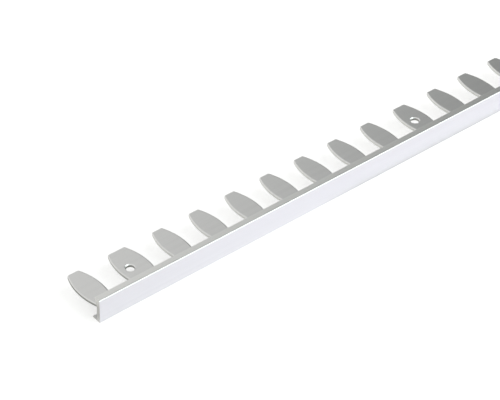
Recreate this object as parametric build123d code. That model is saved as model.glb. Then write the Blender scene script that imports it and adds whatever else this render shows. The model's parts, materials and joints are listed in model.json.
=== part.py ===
from build123d import *
import os
from math import sqrt

# An extruded aluminium corner profile, as a 1 m length of stock. Its visible wall stands on a
# short lip and ends in a thicker rim. A thin leg runs back from under the rim. A press has cut
# the leg into a row of barrel-shaped tabs, so that the profile can follow a curve.
# All sizes are in millimetres. X runs along the stock from its near end, Y from the visible
# face towards the tabs' ends, and Z up. The origin is the near lower corner of the visible face.

# Stock
stock_length = 1000.0

# Section of the wall, its rim and its lip
wall_height = 12.0
wall_thickness = 2.0
rim_thickness = 3.4
lip_reach = 4.8
lip_thickness = 0.8

# Section of the leg, which starts leg_drop below the rim's top
leg_drop = 4.2
leg_thickness = 1.0
leg_reach = 24.9

# Roundings that the die leaves along the edges
face_edge_radius = 0.6
rim_back_radius = 0.15
wall_foot_radius = 0.2
lip_edge_radius = 0.2
lip_root_radius = 0.3
leg_root_radius = 1.0

# Tabs that the press leaves. The first tab is a little wider than a plain one, and the wall's
# near end is cropped just inside its bulge
tab_pitch = 20.0
tab_width = 10.7
tab_side_radius = 31.0
tab_widest_at = 12.5
tab_tip_radius = 0.5
tab_edge_chamfer = 0.15
end_crop = 0.9
end_overrun = 0.4

# Where two strokes of the press meet, the gap comes out a little wider, and then the tab does so
# by the strip's overrun, which is large and small by turns. That tab has the stroke's one fixing hole
tabs_per_stroke = 8
plain_tab_count = 1
wider_gap = 0.5
large_overrun = 3.5
small_overrun = 1.7
hole_diameter = 4.0
hole_edge_chamfer = 0.4
hole_from_face = 12.6

# Places that follow from the sizes above
leg_top = wall_height - leg_drop
leg_underside = leg_top - leg_thickness
first_tab = tab_width / 2 - end_crop


def tab_half_width(y):
    """Half the width of a plain tab at a distance y from the visible face: its sides are arcs."""
    return tab_width / 2 - tab_side_radius + sqrt(tab_side_radius**2 - (y - tab_widest_at) ** 2)


def tab_rows():
    """Each tab's middle line, its extra width, which lies wholly on its far side, and whether it is holed.

    Where less than half a tab would be left at the sawn end, the sliver is trimmed off.
    """
    rows = []
    middle = first_tab
    while middle < stock_length:
        stroke, place = divmod(len(rows) - plain_tab_count, tabs_per_stroke)
        holed = place == 0
        extra = 0.0 if rows else end_overrun
        if holed:
            middle += wider_gap
            extra = large_overrun if stroke % 2 == 0 else small_overrun
        rows.append((middle, extra, holed))
        middle += tab_pitch + extra
    return rows


def wall():
    """The wall with its rim and lip, extruded along the whole stock."""
    corners = [
        ((0, 0), wall_foot_radius),
        ((lip_reach, 0), lip_edge_radius),
        ((lip_reach, lip_thickness), lip_edge_radius),
        ((wall_thickness, lip_thickness), lip_root_radius),
        ((wall_thickness, leg_underside), leg_root_radius),
        ((rim_thickness, leg_underside), 0),
        ((rim_thickness, wall_height), rim_back_radius),
        ((0, wall_height), face_edge_radius),
    ]
    points = [point for point, radius in corners]
    outline = FilletPolyline(*points, radius=[radius for point, radius in corners], close=True)
    return extrude(Plane.YZ * make_face(outline), stock_length)


def tab_plan(middle, extra):
    """One tab seen from above, from inside the rim to its tip, with two bulging sides."""
    ends = [wall_thickness, leg_reach]
    left = [(middle - tab_half_width(y), y) for y in (ends[0], tab_widest_at, ends[1])]
    right = [(middle + extra + tab_half_width(y), y) for y in (ends[1], tab_widest_at, ends[0])]
    outline = ThreePointArc(*left) + Line(left[2], right[0]) + ThreePointArc(*right) + Line(right[2], left[0])
    plan = make_face(outline)
    return fillet(plan.vertices().group_by(Axis.Y)[-1], tab_tip_radius)


def tab(middle, extra):
    """One tab. The die and the punch leave its upper edges a little rolled over."""
    blank = extrude(Pos(0, 0, leg_underside) * tab_plan(middle, extra), leg_thickness)
    return chamfer(blank.faces().sort_by(Axis.Z)[-1].edges(), tab_edge_chamfer)


def fixing_hole(middle):
    """The cutter for one fixing hole, with the chamfer around its upper edge."""
    bore = Cylinder(hole_diameter / 2, leg_thickness, align=(Align.CENTER, Align.CENTER, Align.MAX))
    widest = hole_diameter / 2 + hole_edge_chamfer
    flare = Cone(hole_diameter / 2, widest, hole_edge_chamfer, align=(Align.CENTER, Align.CENTER, Align.MAX))
    return Pos(middle, hole_from_face, leg_top) * (bore + flare)


def leg():
    """All the tabs, sawn off square where the stock ends."""
    tabs = Part() + [tab(middle, extra) for middle, extra, holed in tab_rows()]
    offcut_size = 2 * (leg_reach + tab_width + large_overrun)
    offcut = Pos(stock_length + offcut_size / 2, 0) * Box(offcut_size, offcut_size, offcut_size)
    return tabs - offcut - [fixing_hole(middle) for middle, extra, holed in tab_rows() if holed]


def edge_profile():
    """The whole profile as one solid."""
    return wall() + leg()


os.makedirs("parts", exist_ok=True)
profile = edge_profile()
centre = profile.center(CenterOf.MASS)
print("solids", len(profile.solids()), "volume", round(profile.volume, 1), "valid", profile.is_valid)
print("centre of mass", round(centre.Y, 2), round(centre.Z, 2))
export_step(profile, "parts/edge_profile.step")
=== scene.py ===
import json
from math import cos, radians, sin

import bpy
import numpy as np
from bpy.props import FloatProperty, FloatVectorProperty, PointerProperty
from bpy.types import Operator, Panel, PropertyGroup
from mathutils import Matrix, Vector


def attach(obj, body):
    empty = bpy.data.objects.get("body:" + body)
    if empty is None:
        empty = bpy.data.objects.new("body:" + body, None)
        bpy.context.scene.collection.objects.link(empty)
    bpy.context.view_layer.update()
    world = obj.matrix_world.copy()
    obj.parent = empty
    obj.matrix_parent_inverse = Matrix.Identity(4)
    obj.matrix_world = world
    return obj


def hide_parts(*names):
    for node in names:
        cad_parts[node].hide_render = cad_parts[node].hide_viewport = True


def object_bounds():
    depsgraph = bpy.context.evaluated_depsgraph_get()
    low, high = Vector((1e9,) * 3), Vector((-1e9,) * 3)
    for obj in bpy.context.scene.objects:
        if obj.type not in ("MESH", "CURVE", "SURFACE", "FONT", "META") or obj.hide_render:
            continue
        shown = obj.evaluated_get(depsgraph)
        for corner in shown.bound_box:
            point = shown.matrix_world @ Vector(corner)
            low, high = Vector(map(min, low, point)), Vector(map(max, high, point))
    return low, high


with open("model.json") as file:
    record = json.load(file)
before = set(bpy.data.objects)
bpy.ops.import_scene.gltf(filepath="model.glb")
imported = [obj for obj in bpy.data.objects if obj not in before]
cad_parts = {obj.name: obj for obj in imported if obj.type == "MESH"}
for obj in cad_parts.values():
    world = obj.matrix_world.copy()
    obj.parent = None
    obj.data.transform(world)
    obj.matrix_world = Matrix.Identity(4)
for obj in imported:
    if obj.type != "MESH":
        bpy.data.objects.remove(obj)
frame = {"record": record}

bl_info = {
    "name": "Aluminium corner profile",
    "version": (1, 0, 0),
    "blender": (4, 5, 0),
    "location": "3D View > Sidebar > Corner profile",
    "description": "Makes a punched aluminium corner profile and sets it on a studio floor",
    "category": "Object",
}

# Lengths are in metres, and a millimetre is this many
MM = 0.001

WHITE = (1.0, 1.0, 1.0, 1.0)

# The node that the profile stands for, and the places that the frame gives
PROFILE = "edge_profile"
CAD_LOW, CAD_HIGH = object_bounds()
STOCK_LENGTH = CAD_HIGH.x
WALL_HEIGHT = CAD_HIGH.z
TAB_TIP = CAD_HIGH.y
HOLES = [mount for mount in frame["record"]["mounts"] if mount["kind"] == "bore"]
HOLE_RADIUS = HOLES[0]["dims"]["r_mm"] * MM

# Tabs that one stroke of the press cuts
TABS_PER_STROKE = 8

# How finely the surfaces are divided
CORNER_STEPS = 9
SIDE_STEPS = 24
TIP_STEPS = 9
END_STEPS = 8
FLOOR_DIVISIONS = 8

# An edge that turns by more than this stays sharp, and a face this square to an axis is shaded flat
SHARP_ANGLE = radians(30)
FLAT_LIMIT = 0.999999

# Where a look of the metal starts and where it is whole, by how far a surface points up or along the stock
UPRIGHT = (0.5, 0.3)
LEVEL = (0.9, 0.95)
SQUARE_TO_STOCK = (0.95, 0.99)

# The same by place: behind the wall, around a hole, from the leg's top, along the stock, from mid-height.
# They lay out the holes' painted shade, the punched sides' tear and painted shade, where that shade fades,
# and the sawn ends' painted highlight
BEHIND_WALL = (0.03 * MM, 0.06 * MM)
AROUND_BORE = (0.15 * MM, 0.05 * MM)
TORN_AND_SHADED_HEIGHT = (-0.4 * MM, -0.55 * MM)
TEAR_AND_SHADE_FADES = (8 * MM, 30 * MM)
SAWN_END_HIGHLIGHT = (1.5 * MM, 5 * MM)

# How far past the leg's top and underside its cut sides may reach, and how softly they end there
LEG_MARGIN = 0.05 * MM
LEG_SOFTNESS = 0.02 * MM

# Patterns in the metal. A stretch below 1 draws them out along the stock
DRAWN_OUT = (0.004, 1.0, 1.0)
FINE_LINES = {"scale": 2200.0, "detail": 3.0, "stretch": DRAWN_OUT}
BROAD_LINES = {"scale": 500.0, "detail": 2.0, "stretch": DRAWN_OUT}
CLOUDS = {"scale": 25.0, "detail": 2.0}
GRAIN = {"scale": 6000.0, "detail": 3.0}

# The share of the broad lines in the skin's pattern, the tones between which that shades the skin, how far
# the clouds change its roughness, and how deep the lines and the grain are
BROAD_SHARE = 0.5
LINE_TONES = (0.3, 0.7)
ROUGHNESS_SPREAD = 0.03
RELIEF = 0.02 * MM

# Where the floor's mirrored glow is shaded under the leg and where that ends along the stock, how far off
# a surface still shades it, and how many rays look for one
UNDER_LEG = (-2 * MM, 4 * MM)
FIRST_TABS = (0.0, 40 * MM)
SHADE_REACH = 20 * MM
SHADE_SAMPLES = 8

# Over what length the glow grows to its full strength, and what share of it the near end has
GLOW_GROWS = (-10 * MM, 110 * MM)
NEAR_GLOW = 0.85

# The shaded strip in front of the foot: its width, how soft its edges are, and where it starts
CONTACT_WIDTH = 1.5 * MM
CONTACT_SOFTNESS = 0.3 * MM
CONTACT_STARTS = (115 * MM, 150 * MM)

# How far back and how far right a direction points where the studio's light starts and stops changing
FRONT_TO_BACK = (-0.45, 0.0)
LEFT_TO_RIGHT = (-0.08, 0.215)

# Where the metal mirrors a bright patch of the studio, and the angles at which it ends and starts to fade
PATCH_DIRECTION = (0.5, -0.6, 0.6)
PATCH_OUTER = radians(32)
PATCH_INNER = radians(18)

# Where the soft box stands, seen from the place that it lights
KEY_DIRECTION = (0.5, -0.4, 0.75)
KEY_TARGET = (0.15, 0.0, 0.0)

# The photograph's size in pixels, its camera's sensor width in millimetres, and how near and far it sees
PICTURE_WIDTH = 500
PICTURE_HEIGHT = 400
SENSOR_WIDTH = 36.0
NEAREST_SEEN = 0.05
FURTHEST_SEEN = 50.0


# The profile's surfaces
def shell(rings, joined=False):
    """The points and faces of a closed surface through rings that have as many points each.

    A face joins points i and i + 1 of one ring to the same points of the next. The last ring joins the
    first, or else each end ring gets one flat face. The faces come as arrays with one face in each row.
    """
    index = np.arange(rings.shape[0] * rings.shape[1]).reshape(rings.shape[:2])
    near = index if joined else index[:-1]
    far = np.roll(index, -1, axis=0) if joined else index[1:]
    sides = np.stack([near, np.roll(near, -1, axis=1), np.roll(far, -1, axis=1), far], axis=-1)
    ends = [] if joined else [index[:1, ::-1], index[-1:]]
    return rings.reshape(-1, 3), [sides.reshape(-1, 4), *ends]


def rounded(corners):
    """A closed outline from its corners, each with the radius of its rounding.

    Where two edges meet at an angle a, an arc of radius r starts r / tan(a / 2) before the corner and turns
    by t = pi - a. Its points stand at (s sin((1 - k) t) + e sin(k t)) / sin t from its centre, for k from 0
    to 1, where s and e go from the centre to the arc's start and end.
    """
    points = np.array([place for place, radius in corners])
    radii = np.array([[radius] for place, radius in corners])
    before = np.roll(points, 1, axis=0) - points
    after = np.roll(points, -1, axis=0) - points
    before /= np.linalg.norm(before, axis=1, keepdims=True)
    after /= np.linalg.norm(after, axis=1, keepdims=True)
    half_angle = np.arccos(np.sum(before * after, axis=1, keepdims=True)) / 2
    inwards = before + after
    inwards /= np.linalg.norm(inwards, axis=1, keepdims=True)
    centre = points + inwards * radii / np.sin(half_angle)
    start = points + before * radii / np.tan(half_angle) - centre
    end = points + after * radii / np.tan(half_angle) - centre
    turn = (np.pi - 2 * half_angle)[:, None]
    share = np.linspace(0.0, 1.0, CORNER_STEPS)[None, :, None]
    arcs = start[:, None] * np.sin((1 - share) * turn) + end[:, None] * np.sin(share * turn)
    return (centre[:, None] + arcs / np.sin(turn)).reshape(-1, 2)


def wall(shape):
    """The wall with its rim and lip: one outline in Y and Z, the same at both ends of the stock."""
    section = rounded([
        ((0.0, 0.0), shape.foot_radius),
        ((shape.lip_reach, 0.0), shape.foot_radius),
        ((shape.lip_reach, shape.lip_thickness), shape.foot_radius),
        ((shape.wall_thickness, shape.lip_thickness), shape.lip_root_radius),
        ((shape.wall_thickness, WALL_HEIGHT - shape.leg_drop), shape.rim_flare_radius),
        ((shape.rim_thickness, WALL_HEIGHT), shape.rim_back_radius),
        ((0.0, WALL_HEIGHT), shape.face_edge_radius),
    ])
    ends = [np.insert(section, 0, x, axis=1) for x in (0.0, STOCK_LENGTH)]
    return shell(np.stack(ends))


def tab_ring(shape, middle, extra, inset, height):
    """A tab's outline, taken in by an inset, at one height: along its right side, tip, left side and root.

    A side stands w / 2 - R + sqrt((R - i)^2 - (y - c)^2) from the middle line, for the width w, the side's
    radius R, the inset i and the widest place c. At the tip a quarter turn a of radius r - i starts at
    y = tip - r. It goes on by (r - i) sin a and takes the side in by (r - i)(1 - cos a). The extra width
    lies wholly on the right.
    """
    radius = shape.tab_tip_radius - inset
    turn_start = TAB_TIP - shape.tab_tip_radius
    turn = np.linspace(0.0, np.pi / 2, TIP_STEPS)
    along = np.linspace(shape.wall_thickness / 2, turn_start, SIDE_STEPS, endpoint=False)
    y = np.concatenate([along, turn_start + radius * np.sin(turn)])
    taken_in = np.concatenate([np.zeros(SIDE_STEPS), radius * (1 - np.cos(turn))])
    bulge = np.sqrt((shape.tab_side_radius - inset) ** 2 - (y - shape.tab_widest_at) ** 2)
    half = shape.tab_width / 2 - shape.tab_side_radius + bulge - taken_in
    right = np.column_stack([middle + extra + half, y])
    left = np.column_stack([middle - half, y])[::-1]
    share = np.linspace(0.0, 1.0, END_STEPS + 1)[1:-1, None]
    tip = right[-1] + share * (left[0] - right[-1])
    root = left[-1] + share * (right[0] - left[-1])
    ring = np.concatenate([right, tip, left, root])
    return np.column_stack([ring, np.full(len(ring), height)])


def hole_ring(outline, centre, radius, height):
    """A round ring: each point lies a radius from the hole's centre, towards a point of the outline."""
    away = outline[:, :2] - centre
    away /= np.linalg.norm(away, axis=1, keepdims=True)
    return np.column_stack([centre + radius * away, np.full(len(away), height)])


def tab(shape, middle, extra, hole):
    """One tab, as rings up its side and over its rolled edge.

    Where it has a hole, the rings go on over the hole's edge and down its bore.
    """
    top = WALL_HEIGHT - shape.leg_drop
    underside = top - shape.leg_thickness
    rings = [
        tab_ring(shape, middle, extra, 0.0, underside),
        tab_ring(shape, middle, extra, 0.0, top - shape.rolled_depth),
        tab_ring(shape, middle, extra, shape.rolled_width, top),
    ]
    if hole is not None:
        centre = np.array(hole["pos_m"][:2])
        chamfer = shape.hole_chamfer
        rings += [
            hole_ring(rings[0], centre, HOLE_RADIUS + chamfer, top),
            hole_ring(rings[0], centre, HOLE_RADIUS, top - chamfer),
            hole_ring(rings[0], centre, HOLE_RADIUS, underside),
        ]
    return shell(np.stack(rings), joined=hole is not None)


def tab_row(shape):
    """All tabs of the leg.

    The first one's middle line stands half a tab's width less the crop from the near end. Each next one
    stands a pitch and the last one's extra width further on. Each stroke of the press starts with a wider
    gap and a wider tab, which has the hole.
    """
    tabs = []
    holes = iter(HOLES)
    middle = shape.tab_width / 2 - shape.end_crop
    while middle < STOCK_LENGTH:
        stroke, place = divmod(len(tabs) - 1, TABS_PER_STROKE)
        extra = 0.0 if tabs else shape.end_overrun
        hole = next(holes) if place == 0 else None
        if hole is not None:
            middle += shape.wider_gap
            extra = shape.small_overrun if stroke % 2 else shape.large_overrun
        tabs.append(tab(shape, middle, extra, hole))
        middle += shape.tab_pitch + extra
    starts = np.cumsum([0] + [len(points) for points, faces in tabs])
    faces = [rows + start for start, (points, faces) in zip(starts, tabs) for rows in faces]
    return np.concatenate([points for points, faces in tabs]), faces


def add_object(name, data):
    """A new object in the scene, for a mesh, a light or a camera."""
    made = bpy.data.objects.new(name, data)
    bpy.context.scene.collection.objects.link(made)
    return made


def new_piece(name, points, faces):
    """A mesh object made from points and from arrays with one face in each row."""
    mesh = bpy.data.meshes.new(name)
    mesh.from_pydata(points.tolist(), [], [face for rows in faces for face in rows.tolist()])
    return add_object(name, mesh)


def merge(piece, other):
    """Makes one closed surface of two pieces that overlap.

    Faces that are square to an axis are shaded flat, and the rest smoothly up to the sharp edges.
    """
    union = piece.modifiers.new("union", "BOOLEAN")
    union.operation = "UNION"
    union.solver = "MANIFOLD"
    union.object = other
    bpy.context.view_layer.update()
    evaluated = piece.evaluated_get(bpy.context.evaluated_depsgraph_get())
    whole = bpy.data.meshes.new_from_object(evaluated)
    piece.modifiers.clear()
    piece.data = whole
    bpy.data.objects.remove(other)
    whole.set_sharp_from_angle(angle=SHARP_ANGLE)
    normals = np.empty((len(whole.polygons), 3), dtype=np.float32)
    whole.polygons.foreach_get("normal", normals.ravel())
    whole.polygons.foreach_set("use_smooth", np.abs(normals).max(axis=1) < FLAT_LIMIT)


# Shader helpers
def empty_tree(owner, output_kind):
    """The emptied node tree of a material or a world, and its output node."""
    owner.use_nodes = True
    tree = owner.node_tree
    tree.nodes.clear()
    return tree, tree.nodes.new(output_kind)


def add_node(tree, kind, inputs=None, **settings):
    """A new node in a node tree, with its settings made and its inputs set or linked."""
    made = tree.nodes.new(kind)
    for name, value in settings.items():
        setattr(made, name, value)
    for name, value in (inputs or {}).items():
        if isinstance(value, bpy.types.NodeSocket):
            tree.links.new(value, made.inputs[name])
        else:
            made.inputs[name].default_value = value
    return made


def maths(tree, operation, *values):
    """The output of a Math node that works on numbers or sockets."""
    inputs = dict(enumerate(values))
    return add_node(tree, "ShaderNodeMath", inputs, operation=operation).outputs[0]


def product(tree, first, *others):
    """The product of some numbers or sockets."""
    for other in others:
        first = maths(tree, "MULTIPLY", first, other)
    return first


def vector_maths(tree, operation, first, second):
    """The outputs of a Vector Math node that works on two vectors or sockets."""
    return add_node(tree, "ShaderNodeVectorMath", {0: first, 1: second}, operation=operation).outputs


def separate(tree, vector):
    """The outputs X, Y and Z of a vector."""
    return add_node(tree, "ShaderNodeSeparateXYZ", {0: vector}).outputs


def step(tree, value, limits, low=0.0, high=1.0, origin=0.0):
    """A smooth step of a value, from low at the first limit to high at the second.

    Both limits are measured from the origin.
    """
    start, end = limits
    inputs = {
        "Value": value,
        "From Min": origin + start,
        "From Max": origin + end,
        "To Min": low,
        "To Max": high,
    }
    return add_node(tree, "ShaderNodeMapRange", inputs, interpolation_type="SMOOTHSTEP").outputs[0]


def between(tree, value, low, high, soft):
    """1 where a value lies between two limits and 0 elsewhere, with a soft step at each limit."""
    rise = step(tree, value, (low - soft, low + soft))
    fall = step(tree, value, (high + soft, high - soft))
    return product(tree, rise, fall)


def noise(tree, place, scale, detail, stretch=(1.0, 1.0, 1.0)):
    """Noise from 0 to 1 over a place in metres, finer as scale grows and drawn out where stretch is low."""
    drawn = add_node(tree, "ShaderNodeMapping", {"Vector": place, "Scale": stretch}).outputs[0]
    inputs = {"Vector": drawn, "Scale": scale, "Detail": detail}
    return add_node(tree, "ShaderNodeTexNoise", inputs).outputs["Fac"]


# A Mix node's sockets by number, for numbers and for colours: its two inputs and its output
MIX_SOCKETS = {"FLOAT": (2, 3, 0), "RGBA": (6, 7, 2)}


def mix(tree, kind, share, first, second):
    """A number or a colour that goes from the first to the second as share goes from 0 to 1."""
    first_input, second_input, result = MIX_SOCKETS[kind]
    inputs = {"Factor": share, first_input: first, second_input: second}
    return add_node(tree, "ShaderNodeMix", inputs, data_type=kind).outputs[result]


def mix_number(tree, share, first, second):
    """A number that goes from the first to the second as share goes from 0 to 1."""
    return mix(tree, "FLOAT", share, first, second)


def mix_colour(tree, share, first, second):
    """A colour that goes from the first to the second as share goes from 0 to 1."""
    return mix(tree, "RGBA", share, first, second)


# The profile's finish
def hole_distance(tree, place):
    """How far a place is from the axis of the nearest fixing hole: the least of the distances in plan."""
    in_plan = vector_maths(tree, "MULTIPLY", place, (1.0, 1.0, 0.0))["Vector"]
    nearest = None
    for mount in HOLES:
        axis = (mount["pos_m"][0], mount["pos_m"][1], 0.0)
        away = vector_maths(tree, "DISTANCE", in_plan, axis)["Value"]
        nearest = away if nearest is None else maths(tree, "MINIMUM", nearest, away)
    return nearest


def anodised_aluminium(finish, shape):
    """Matt anodised aluminium with fine lines along the stock, and bare metal where it was cut.

    Painted shade darkens the punched sides, the holes' walls and the sawn ends, and a painted highlight
    lightens the sawn ends towards their top and foot.
    """
    material = bpy.data.materials.new("anodised_aluminium_finish")
    tree, output = empty_tree(material, "ShaderNodeOutputMaterial")
    coordinates = add_node(tree, "ShaderNodeTexCoord").outputs
    place = coordinates["Object"]
    x, y, z = separate(tree, place)
    facing = separate(tree, coordinates["Normal"])
    leg_top = WALL_HEIGHT - shape.leg_drop
    leg_underside = leg_top - shape.leg_thickness

    # Where the metal was cut: the upright faces in the leg were punched, and the stock's ends were sawn
    upright = step(tree, maths(tree, "ABSOLUTE", facing["Z"]), UPRIGHT)
    behind_wall = step(tree, y, BEHIND_WALL, origin=shape.wall_thickness)
    in_leg = between(tree, z, leg_underside - LEG_MARGIN, leg_top + LEG_MARGIN, LEG_SOFTNESS)
    punched = product(tree, upright, behind_wall, in_leg)
    sawn = step(tree, maths(tree, "ABSOLUTE", facing["X"]), SQUARE_TO_STOCK)
    cut = maths(tree, "MAXIMUM", punched, sawn)

    # The skin, with its lines, and the rim's polished top
    fine_lines = noise(tree, place, **FINE_LINES)
    broad_lines = noise(tree, place, **BROAD_LINES)
    tone = mix_number(tree, BROAD_SHARE, fine_lines, broad_lines)
    skin = mix_colour(tree, step(tree, tone, LINE_TONES), finish.skin_shade, finish.skin_colour)
    on_rim = product(tree, step(tree, facing["Z"], LEVEL), step(tree, z, (leg_top, WALL_HEIGHT)))
    skin = mix_colour(tree, on_rim, skin, finish.rim_colour)
    smoothest = finish.roughness - ROUGHNESS_SPREAD
    roughest = finish.roughness + ROUGHNESS_SPREAD
    skin_roughness = mix_number(tree, noise(tree, place, **CLOUDS), smoothest, roughest)

    # A punched side is burnished above and darker below, where the metal tore. On the first two tabs that
    # band is mostly painted shade, which fades along the stock
    tear_and_shade_strength = step(tree, x, TEAR_AND_SHADE_FADES, 1.0, finish.later_tear_and_shade)
    torn_and_shaded = product(tree, step(tree, z, TORN_AND_SHADED_HEIGHT, origin=leg_top), tear_and_shade_strength)
    side = mix_colour(tree, torn_and_shaded, finish.burnished_colour, finish.torn_and_shaded_colour)
    # A hole's wall has a colour of its own, darker as painted shade
    bore = step(tree, hole_distance(tree, place), AROUND_BORE, origin=HOLE_RADIUS)
    side = mix_colour(tree, bore, side, finish.bore_shade_colour)

    # A sawn end is darker than the skin, partly as bare sawn metal and partly as painted shade, and a
    # painted highlight lightens it towards the top and the foot
    from_middle = maths(tree, "ABSOLUTE", maths(tree, "SUBTRACT", z, WALL_HEIGHT / 2))
    end = mix_colour(tree, step(tree, from_middle, SAWN_END_HIGHLIGHT), finish.sawn_and_shaded_colour, finish.sawn_end_highlight_colour)
    bare = mix_colour(tree, punched, end, side)

    height = mix_number(tree, cut, tone, noise(tree, place, **GRAIN))
    bump_inputs = {"Height": height, "Strength": finish.line_depth, "Distance": RELIEF}
    shader_inputs = {
        "Base Color": mix_colour(tree, cut, skin, bare),
        "Roughness": mix_number(tree, cut, skin_roughness, finish.cut_roughness),
        "Metallic": 1.0,
        "Normal": add_node(tree, "ShaderNodeBump", bump_inputs).outputs[0],
    }
    shader = add_node(tree, "ShaderNodeBsdfPrincipled", shader_inputs)
    tree.links.new(shader.outputs[0], output.inputs["Surface"])
    return material


# The stage
def floor_material(stage):
    """A pale floor. What a lens or a mirror sees has a glow added, and its underside is clear.

    The mirrored glow gets stronger along the stock. It is shaded under the first tabs, and in a strip along
    the foot of the wall past the near end.
    """
    material = bpy.data.materials.new("studio_floor_finish")
    tree, output = empty_tree(material, "ShaderNodeOutputMaterial")
    rays = add_node(tree, "ShaderNodeLightPath").outputs
    place = separate(tree, add_node(tree, "ShaderNodeTexCoord").outputs["Object"])

    under_leg = step(tree, place["Y"], UNDER_LEG)
    first_tabs = step(tree, place["X"], FIRST_TABS, 1.0, 0.0)
    reach = {"Distance": SHADE_REACH}
    open_sky = add_node(tree, "ShaderNodeAmbientOcclusion", reach, samples=SHADE_SAMPLES).outputs["AO"]
    tab_shade = mix_number(tree, product(tree, under_leg, first_tabs), 1.0, open_sky)
    growth = step(tree, place["X"], GLOW_GROWS, NEAR_GLOW, 1.0)
    strip = between(tree, place["Y"], -CONTACT_WIDTH, 0.0, CONTACT_SOFTNESS)
    at_foot = product(tree, strip, step(tree, place["X"], CONTACT_STARTS))
    foot_shade = mix_number(tree, at_foot, 1.0, stage.contact_shade)

    seen = maths(tree, "MAXIMUM", rays["Is Camera Ray"], rays["Is Transmission Ray"])
    direct = product(tree, seen, stage.floor_glow)
    mirrored = product(tree, rays["Is Glossy Ray"], stage.mirrored_glow, tab_shade, growth, foot_shade)
    strength = maths(tree, "ADD", direct, mirrored)
    mirrored_tint = mix_colour(tree, under_leg, stage.glow_colour, stage.back_glow_colour)
    tint = mix_colour(tree, seen, mirrored_tint, WHITE)

    paint = add_node(tree, "ShaderNodeBsdfDiffuse", {"Color": stage.floor_colour})
    glow = add_node(tree, "ShaderNodeEmission", {"Color": tint, "Strength": strength})
    lit = add_node(tree, "ShaderNodeAddShader", {0: paint.outputs[0], 1: glow.outputs[0]})
    clear = add_node(tree, "ShaderNodeBsdfTransparent")
    below = add_node(tree, "ShaderNodeNewGeometry").outputs["Backfacing"]
    both = add_node(tree, "ShaderNodeMixShader", {0: below, 1: lit.outputs[0], 2: clear.outputs[0]})
    tree.links.new(both.outputs[0], output.inputs["Surface"])
    return material


def flat_sheet(name, size, divisions):
    """A level square sheet at height 0.

    It is a grid of points (u - 1/2, v - 1/2) times its size, for u and v from 0 to 1.
    """
    steps = np.linspace(-0.5, 0.5, divisions + 1) * size
    u, v = np.meshgrid(steps, steps, indexing="ij")
    points = np.stack([u, v, np.zeros_like(u)], axis=-1).reshape(-1, 3)
    corner = (np.arange(divisions)[:, None] * (divisions + 1) + np.arange(divisions)).ravel()
    faces = np.stack([corner, corner + divisions + 1, corner + divisions + 2, corner + 1], axis=-1)
    return new_piece(name, points, [faces])


def studio_world(stage, heading):
    """White to the camera. For light and reflections its back goes from a bright left to a dim right.

    Left and right are those of a view with the given heading, and the colour changes between them too. The
    metal also mirrors a round bright patch on the right, which draws the white line along the face's top.
    """
    world = bpy.data.worlds.new("studio_world")
    tree, output = empty_tree(world, "ShaderNodeOutputWorld")
    direction = add_node(tree, "ShaderNodeTexCoord").outputs["Generated"]
    rays = add_node(tree, "ShaderNodeLightPath").outputs

    rightwards = (cos(heading), -sin(heading), 0.0)
    side = vector_maths(tree, "DOT_PRODUCT", direction, rightwards)["Value"]
    to_right = step(tree, side, LEFT_TO_RIGHT)
    to_back = step(tree, separate(tree, direction)["Y"], FRONT_TO_BACK)
    back_level = mix_number(tree, to_right, stage.sky_left, stage.sky_right)
    level = mix_number(tree, to_back, stage.sky_front, back_level)
    tint = mix_colour(tree, to_right, stage.sky_colour, stage.sky_right_colour)

    aim = tuple(Vector(PATCH_DIRECTION).normalized())
    nearness = vector_maths(tree, "DOT_PRODUCT", direction, aim)["Value"]
    patch = step(tree, nearness, (cos(PATCH_OUTER), cos(PATCH_INNER)))
    patch_level = product(tree, patch, rays["Is Glossy Ray"], stage.patch_brightness)

    camera = rays["Is Camera Ray"]
    background_inputs = {
        "Color": mix_colour(tree, camera, tint, WHITE),
        "Strength": mix_number(tree, camera, maths(tree, "ADD", level, patch_level), 1.0),
    }
    background = add_node(tree, "ShaderNodeBackground", background_inputs)
    tree.links.new(background.outputs[0], output.inputs["Surface"])
    bpy.context.scene.world = world


def soft_light(name, size, direction, distance, target, strength):
    """A square soft box that looks at a target from a direction.

    Its strength is the brightness of its surface, so its power is pi times its area times its strength. The
    metal doesn't mirror it. Seen from above, a mirrored soft box would hide the metal's edges on the pale
    floor.
    """
    light = bpy.data.lights.new(name, "AREA")
    light.shape = "SQUARE"
    light.size = size
    light.energy = strength * np.pi * size * size
    lamp = add_object(name, light)
    lamp.visible_glossy = False
    towards = Vector(direction).normalized()
    lamp.location = Vector(target) + towards * distance
    lamp.rotation_mode = "QUATERNION"
    lamp.rotation_quaternion = (-towards).to_track_quat("-Z", "Y")


def photo_camera(view):
    """The camera of the photograph.

    Its turn comes from its angles, and its place from where the near top corner is drawn.
    """
    heading, tilt, roll = view.heading, view.tilt, view.roll
    right = Vector((cos(heading), -sin(heading), 0.0))
    up = Vector((sin(heading) * sin(tilt), cos(heading) * sin(tilt), cos(tilt)))
    forward = Vector((sin(heading) * cos(tilt), cos(heading) * cos(tilt), -sin(tilt)))
    turned_right = right * cos(roll) + up * sin(roll)
    turned_up = up * cos(roll) - right * sin(roll)
    across = (view.corner_x - PICTURE_WIDTH / 2) / view.focal_pixels * view.distance
    above = (PICTURE_HEIGHT / 2 - view.corner_y) / view.focal_pixels * view.distance
    corner = Vector((0.0, 0.0, WALL_HEIGHT))
    place = corner - turned_right * across - turned_up * above - forward * view.distance
    lens = bpy.data.cameras.new("photo_camera")
    lens.sensor_width = SENSOR_WIDTH
    lens.lens = view.focal_pixels / PICTURE_WIDTH * SENSOR_WIDTH
    lens.clip_start = NEAREST_SEEN
    lens.clip_end = FURTHEST_SEEN
    camera = add_object("photo_camera", lens)
    turn = Matrix((turned_right, turned_up, -forward)).transposed()
    camera.matrix_world = Matrix.Translation(place) @ turn.to_4x4()
    bpy.context.scene.camera = camera


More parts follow.
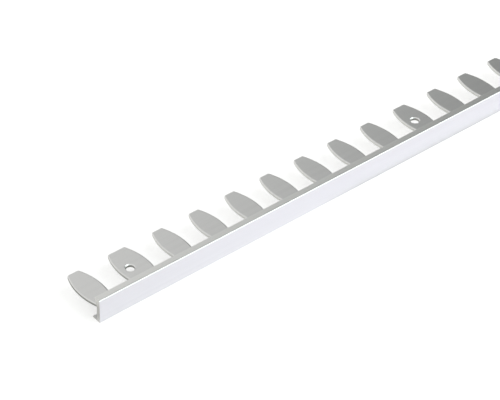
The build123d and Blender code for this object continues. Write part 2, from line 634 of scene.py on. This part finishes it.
# What a user can set
def length(name, description, millimetres):
    """A length of some millimetres."""
    return FloatProperty(
        name=name, description=description, default=millimetres * MM, min=0.0, unit="LENGTH", precision=5)


def angle(name, description, degrees):
    """An angle of some degrees."""
    return FloatProperty(name=name, description=description, default=radians(degrees), subtype="ANGLE")


def pixels(name, description, default):
    """A length or a place in the photograph's pixels."""
    return FloatProperty(name=name, description=description, default=default, subtype="PIXEL")


def colour(name, description, red, green, blue):
    """A colour."""
    return FloatVectorProperty(
        name=name, description=description, default=(red, green, blue, 1.0), size=4, min=0.0, max=1.0,
        subtype="COLOR")


def factor(name, description, default):
    """A factor from 0 to 1."""
    return FloatProperty(
        name=name, description=description, default=default, min=0.0, max=1.0, subtype="FACTOR")


def brightness(name, description, default):
    """A brightness, where 1 is white."""
    return FloatProperty(name=name, description=description, default=default, min=0.0)


class CornerShape(PropertyGroup):
    """The sizes of the profile's section and of its tabs."""

    wall_thickness: length("Wall", "Thickness of the visible wall", 2.0)
    rim_thickness: length("Rim", "Width of the rim's top", 3.4)
    rim_flare_radius: length("Rim flare", "Radius of the bend where the wall widens into the rim", 2.0)
    rim_back_radius: length("Rim back edge", "Radius of the rim's back edge", 0.15)
    face_edge_radius: length("Face edge", "Radius of the visible face's top edge", 0.6)
    lip_reach: length("Lip", "How far the lip reaches from the visible face", 4.8)
    lip_thickness: length("Lip thickness", "Thickness of the lip", 0.8)
    lip_root_radius: length("Lip root", "Radius of the corner between the lip and the wall", 0.3)
    foot_radius: length("Foot edges", "Radius of the edges of the foot", 0.2)
    leg_drop: length("Leg drop", "How far the leg lies under the rim's top", 4.2)
    leg_thickness: length("Leg", "Thickness of the leg", 1.5)
    tab_pitch: length("Tab pitch", "Distance from one plain tab to the next", 20.0)
    tab_width: length("Tab width", "Width of a plain tab at its widest", 10.4)
    tab_side_radius: length("Tab side", "Radius of a tab's bulging sides", 31.0)
    tab_widest_at: length("Tab widest at", "Distance from the visible face to a tab's widest place", 12.5)
    tab_tip_radius: length("Tab tip", "Radius of the corners at a tab's tip", 0.45)
    rolled_width: length("Rolled edge", "Width of the edge that the punch rolls over", 0.4)
    rolled_depth: length("Rolled depth", "How deep the punch rolls the edge over", 0.15)
    end_crop: length("End crop", "How far the first tab bulges past the wall's end", 0.6)
    end_overrun: length("End overrun", "Extra width of the first tab", 0.4)
    wider_gap: length("Wider gap", "Extra width of the gap before each stroke", 0.5)
    large_overrun: length("Large overrun", "Extra width of the holed tab of every other stroke", 3.5)
    small_overrun: length("Small overrun", "Extra width of the other holed tabs", 1.7)
    hole_chamfer: length("Hole edge", "Width of the chamfer around a fixing hole", 0.4)


class CornerFinish(PropertyGroup):
    """The colours and the roughness of the metal."""

    skin_colour: colour("Skin", "Colour of the anodised skin", 0.87, 0.87, 0.875)
    skin_shade: colour("Line shade", "Colour of the skin in the extrusion lines", 0.835, 0.835, 0.84)
    rim_colour: colour("Rim", "Colour of the rim's top, which handling has polished", 0.93, 0.93, 0.925)
    # The sawn ends' darker colour is partly bare sawn metal and partly painted shade
    sawn_and_shaded_colour: colour("Sawn", "Colour of the sawn ends", 0.6, 0.595, 0.585)
    # A painted highlight that lightens the sawn ends towards top and foot
    sawn_end_highlight_colour: colour("Sawn edges", "Colour of the sawn ends near top and foot", 0.77, 0.765, 0.75)
    burnished_colour: colour("Burnished", "Colour of the punched sides above", 0.82, 0.82, 0.81)
    # Punched sides' dark lower band: the metal's tear, and painted shade, full on the first two tabs
    torn_and_shaded_colour: colour("Torn", "Colour of the punched sides below, where metal tore", 0.36, 0.36, 0.35)
    # The holes' walls are darkened with painted shade
    bore_shade_colour: colour("Bore", "Colour of the fixing holes' walls", 0.45, 0.45, 0.44)
    # Share of that band, tear and painted shade, kept past the first two tabs
    later_tear_and_shade: factor("Later tear", "How strongly the sides are torn past the first two tabs", 0.1)
    roughness: factor("Roughness", "Roughness of the anodised skin", 0.36)
    cut_roughness: factor("Cut roughness", "Roughness of the cut faces", 0.5)
    line_depth: factor("Line depth", "How strongly the extrusion lines show", 0.1)


class CornerStage(PropertyGroup):
    """The floor and the studio light."""

    floor_colour: colour("Floor", "Colour of the floor", 0.7, 0.7, 0.7)
    floor_size: length("Floor size", "Length of the floor's sides", 12000.0)
    floor_glow: brightness("Floor glow", "Brightness added to the floor that the lens sees", 0.52)
    mirrored_glow: brightness("Mirrored glow", "Brightness added to the floor that metal mirrors", 0.445)
    glow_colour: colour("Front glow", "Colour of the glow that the visible face mirrors", 0.88, 0.84, 1.0)
    back_glow_colour: colour("Back glow", "Colour of the glow that the tabs mirror", 0.69, 0.69, 0.65)
    contact_shade: factor("Contact shade", "Share of the mirrored glow that is left along the foot", 0.5)
    sky_colour: colour("Left sky", "Colour of the studio's light on the left", 1.0, 0.995, 0.97)
    sky_right_colour: colour("Right sky", "Colour of the studio's light on the right", 0.92, 1.0, 0.96)
    sky_front: brightness("Front", "Brightness of the studio on the camera's side", 0.8)
    sky_left: brightness("Back left", "Brightness of the studio behind the profile, on the left", 0.8)
    sky_right: brightness("Back right", "Brightness of the studio behind the profile, on the right", 0.0)
    patch_brightness: brightness("Bright patch", "Brightness that the metal mirrors along its edges", 1.6)
    key_brightness: brightness("Soft box", "Brightness of the soft box, high on the camera's right", 1.4)
    key_size: length("Soft box size", "Length of the soft box's sides", 2000.0)
    key_distance: length("Soft box distance", "How far the soft box stands", 2000.0)


class CornerCamera(PropertyGroup):
    """Where the photograph was taken from."""

    heading: angle("Heading", "Turn of the view from straight across the stock", 41.3016)
    tilt: angle("Tilt", "How far the camera looks down", 39.1242)
    roll: angle("Roll", "Turn of the camera about its own axis", 1.7197)
    distance: length("Distance", "Depth of the near top corner in the view", 841.3)
    focal_pixels: pixels("Focal length", "Focal length in the photograph's pixels", 2076.043)
    corner_x: pixels("Corner across", "Pixel column at which the near top corner is drawn", 99.4374)
    corner_y: pixels("Corner down", "Pixel row at which the near top corner is drawn", 301.3532)


# The steps
class OBJECT_OT_corner_profile(Operator):
    """Makes the profile, with its anodised skin and its cut faces"""

    bl_idname = "object.corner_profile"
    bl_label = "Make the profile"

    def execute(self, context):
        shape = context.scene.corner_shape
        profile = new_piece("profile", *wall(shape))
        merge(profile, new_piece("tabs", *tab_row(shape)))
        profile.data.materials.clear()
        profile.data.materials.append(anodised_aluminium(context.scene.corner_finish, shape))
        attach(profile, "root")
        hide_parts(PROFILE)
        return {"FINISHED"}


class OBJECT_OT_corner_stage(Operator):
    """Sets up the floor, the soft light and the camera"""

    bl_idname = "object.corner_stage"
    bl_label = "Set the stage"

    def execute(self, context):
        stage = context.scene.corner_stage
        view = context.scene.corner_camera
        floor = flat_sheet("studio_floor", stage.floor_size, FLOOR_DIVISIONS)
        floor.data.materials.append(floor_material(stage))
        studio_world(stage, view.heading)
        soft_light(
            "soft_box", stage.key_size, KEY_DIRECTION, stage.key_distance, KEY_TARGET, stage.key_brightness)
        photo_camera(view)
        context.scene.view_settings.view_transform = "Standard"
        return {"FINISHED"}


class VIEW3D_PT_corner_profile(Panel):
    """Lists the steps and what can be set"""

    bl_label = "Corner profile"
    bl_idname = "VIEW3D_PT_corner_profile"
    bl_space_type = "VIEW_3D"
    bl_region_type = "UI"
    bl_category = "Corner profile"

    def draw(self, context):
        scene = context.scene
        steps = (
            (OBJECT_OT_corner_profile, (scene.corner_shape, scene.corner_finish)),
            (OBJECT_OT_corner_stage, (scene.corner_stage, scene.corner_camera)),
        )
        for operator, groups in steps:
            self.layout.operator(operator.bl_idname)
            for group in groups:
                for name in group.__annotations__:
                    self.layout.prop(group, name)


CLASSES = (
    CornerShape, CornerFinish, CornerStage, CornerCamera,
    OBJECT_OT_corner_profile, OBJECT_OT_corner_stage,
    VIEW3D_PT_corner_profile,
)


def register():
    for kind in CLASSES:
        bpy.utils.register_class(kind)
    bpy.types.Scene.corner_shape = PointerProperty(type=CornerShape)
    bpy.types.Scene.corner_finish = PointerProperty(type=CornerFinish)
    bpy.types.Scene.corner_stage = PointerProperty(type=CornerStage)
    bpy.types.Scene.corner_camera = PointerProperty(type=CornerCamera)


def unregister():
    del bpy.types.Scene.corner_camera
    del bpy.types.Scene.corner_stage
    del bpy.types.Scene.corner_finish
    del bpy.types.Scene.corner_shape
    for kind in reversed(CLASSES):
        bpy.utils.unregister_class(kind)


def main():
    register()
    bpy.ops.object.corner_profile()
    bpy.ops.object.corner_stage()


if __name__ == "__main__":
    main()
